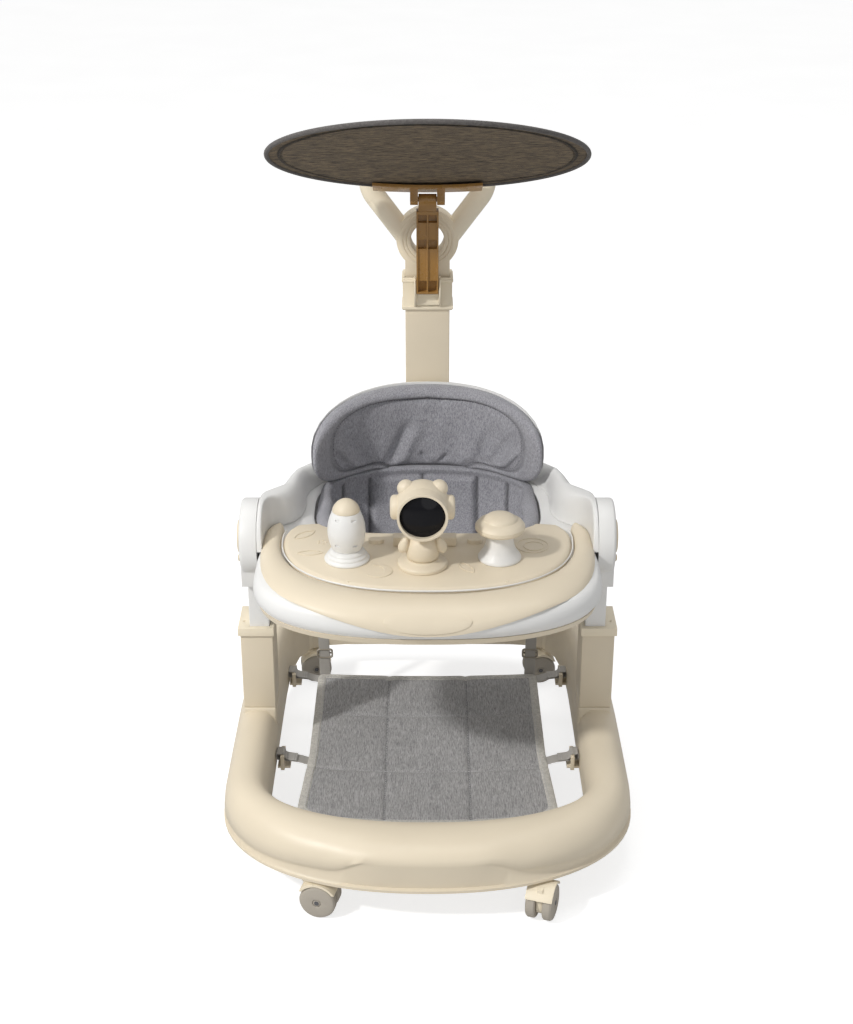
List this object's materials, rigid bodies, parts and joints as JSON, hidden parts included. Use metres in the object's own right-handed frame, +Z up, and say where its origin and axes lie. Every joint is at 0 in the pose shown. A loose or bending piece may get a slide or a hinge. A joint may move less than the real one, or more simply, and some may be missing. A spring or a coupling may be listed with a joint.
{
  "type": "baby walker",
  "caption": "Oval wheeled base with telescopic legs, toy tray and fabric seat, a foot mat, a rear push post with a looped handle and a tilting round sunshade.",
  "frame": {"origin": "on the floor under the middle of the walker", "axes": "+Z up, -Y towards the front of the tray, +X to the right of someone who faces the tray's front"},
  "size_m": [0.598, 0.754, 1.0568],
  "materials": {
    "cream_plastic": "satin",
    "light_plastic": "satin",
    "white_plastic": "satin",
    "caramel_plastic": "satin",
    "grey_fabric": "woven",
    "shade_fabric": "woven",
    "screen": "glossy",
    "steel": "brushed"
  },
  "bodies": {
    "base": {"base_shell": "cream_plastic", "caster_sockets": "light_plastic", "column_sockets": "cream_plastic", "left_column": "cream_plastic", "right_column": "cream_plastic", "column_caps": "light_plastic", "strap_hooks": "cream_plastic", "foot_mat": "grey_fabric", "side_straps": "grey_fabric", "rear_straps": "grey_fabric", "post_socket": "cream_plastic", "push_post": "cream_plastic", "post_collar": "light_plastic", "handle_yoke": "light_plastic", "ring_insert": "light_plastic", "handle_grip": "cream_plastic", "sunshade_clip": "light_plastic", "sunshade_arm": "caramel_plastic", "sunshade_pin": "steel"},
    "sunshade": {"sunshade_clamp": "caramel_plastic", "sunshade_disc": "shade_fabric", "sunshade_rim": "shade_fabric"},
    "seat_unit": {"left_leg": "white_plastic", "right_leg": "white_plastic", "left_hub_cover": "white_plastic", "right_hub_cover": "white_plastic", "hub_shoulders": "white_plastic", "hub_caps": "cream_plastic", "tray_shell": "white_plastic", "tray_edge_band": "cream_plastic", "tray_trim": "cream_plastic", "front_plate": "cream_plastic", "play_panel": "cream_plastic", "panel_relief": "cream_plastic", "panel_screws": "light_plastic", "toy_bar": "cream_plastic", "rocket_base": "white_plastic", "robot_base": "cream_plastic", "robot_body": "cream_plastic", "mushroom_stem": "white_plastic", "seat_sling": "grey_fabric", "backrest_shell": "white_plastic", "backrest_pad": "grey_fabric"},
    "left_lock": {"left_lock_knob": "cream_plastic"},
    "right_lock": {"right_lock_knob": "cream_plastic"},
    "left_key": {"left_button": "cream_plastic"},
    "right_key": {"right_button": "cream_plastic"},
    "rocket": {"rocket_body": "white_plastic", "rocket_nose": "cream_plastic"},
    "robot": {"robot_head": "cream_plastic", "robot_screen": "screen"},
    "mushroom": {"mushroom_cap": "cream_plastic"},
    "front_left_swivel": {"front_left_fork": "light_plastic"},
    "front_left_wheel": {"front_left_wheels": "cream_plastic"},
    "front_right_swivel": {"front_right_fork": "light_plastic"},
    "front_right_wheel": {"front_right_wheels": "cream_plastic"},
    "rear_left_swivel": {"rear_left_fork": "light_plastic"},
    "rear_left_wheel": {"rear_left_wheels": "cream_plastic"},
    "rear_right_swivel": {"rear_right_fork": "light_plastic"},
    "rear_right_wheel": {"rear_right_wheels": "cream_plastic"}
  },
  "joints": [
    {"name": "height_adjust", "type": "slide", "parent": "base", "child": "seat_unit", "axis": [0, 0, 1], "range_m": [-0.035, 0.035]},
    {"name": "left_lock_press", "type": "slide", "parent": "seat_unit", "child": "left_lock", "axis": [1, 0, 0], "range_m": [0, 0.004], "stiffness_N_per_m": 400},
    {"name": "right_lock_press", "type": "slide", "parent": "seat_unit", "child": "right_lock", "axis": [-1, 0, 0], "range_m": [0, 0.004], "stiffness_N_per_m": 400},
    {"name": "left_key_press", "type": "slide", "parent": "seat_unit", "child": "left_key", "axis": [0, 0, -1], "range_m": [0, 0.003], "stiffness_N_per_m": 400},
    {"name": "right_key_press", "type": "slide", "parent": "seat_unit", "child": "right_key", "axis": [0, 0, -1], "range_m": [0, 0.003], "stiffness_N_per_m": 400},
    {"name": "rocket_spin", "type": "hinge", "parent": "seat_unit", "child": "rocket", "pos_m": [-0.115, -0.088, 0.45], "axis": [0, 0, 1], "continuous": true},
    {"name": "robot_head_turn", "type": "hinge", "parent": "seat_unit", "child": "robot", "pos_m": [-0.007, -0.107, 0.47], "axis": [0, 0, 1], "range_deg": [-60, 60]},
    {"name": "mushroom_spin", "type": "hinge", "parent": "seat_unit", "child": "mushroom", "pos_m": [0.103, -0.085, 0.46], "axis": [0, 0, 1], "continuous": true},
    {"name": "sunshade_tilt", "type": "hinge", "parent": "base", "child": "sunshade", "pos_m": [0, 0.27, 0.857], "axis": [1, 0, 0], "range_deg": [-20, 24]},
    {"name": "front_left_swivel_turn", "type": "hinge", "parent": "base", "child": "front_left_swivel", "pos_m": [-0.164, -0.332, 0.07], "axis": [0, 0, 1], "continuous": true},
    {"name": "front_left_wheel_roll", "type": "hinge", "parent": "front_left_swivel", "child": "front_left_wheel", "pos_m": [-0.14945, -0.33563, 0.026], "axis": [0.2419, 0.9703, 0], "continuous": true},
    {"name": "front_right_swivel_turn", "type": "hinge", "parent": "base", "child": "front_right_swivel", "pos_m": [0.164, -0.332, 0.07], "axis": [0, 0, 1], "continuous": true},
    {"name": "front_right_wheel_roll", "type": "hinge", "parent": "front_right_swivel", "child": "front_right_wheel", "pos_m": [0.15937, -0.34627, 0.026], "axis": [0.9511, -0.309, 0], "continuous": true},
    {"name": "rear_left_swivel_turn", "type": "hinge", "parent": "base", "child": "rear_left_swivel", "pos_m": [-0.209, 0.3, 0.07], "axis": [0, 0, 1], "continuous": true},
    {"name": "rear_left_wheel_roll", "type": "hinge", "parent": "rear_left_swivel", "child": "rear_left_wheel", "pos_m": [-0.19411, 0.30183, 0.026], "axis": [-0.1219, 0.9925, 0], "continuous": true},
    {"name": "rear_right_swivel_turn", "type": "hinge", "parent": "base", "child": "rear_right_swivel", "pos_m": [0.209, 0.3, 0.07], "axis": [0, 0, 1], "continuous": true},
    {"name": "rear_right_wheel_roll", "type": "hinge", "parent": "rear_right_swivel", "child": "rear_right_wheel", "pos_m": [0.19415, 0.29791, 0.026], "axis": [0.1392, -0.9903, 0], "continuous": true}
  ]
}
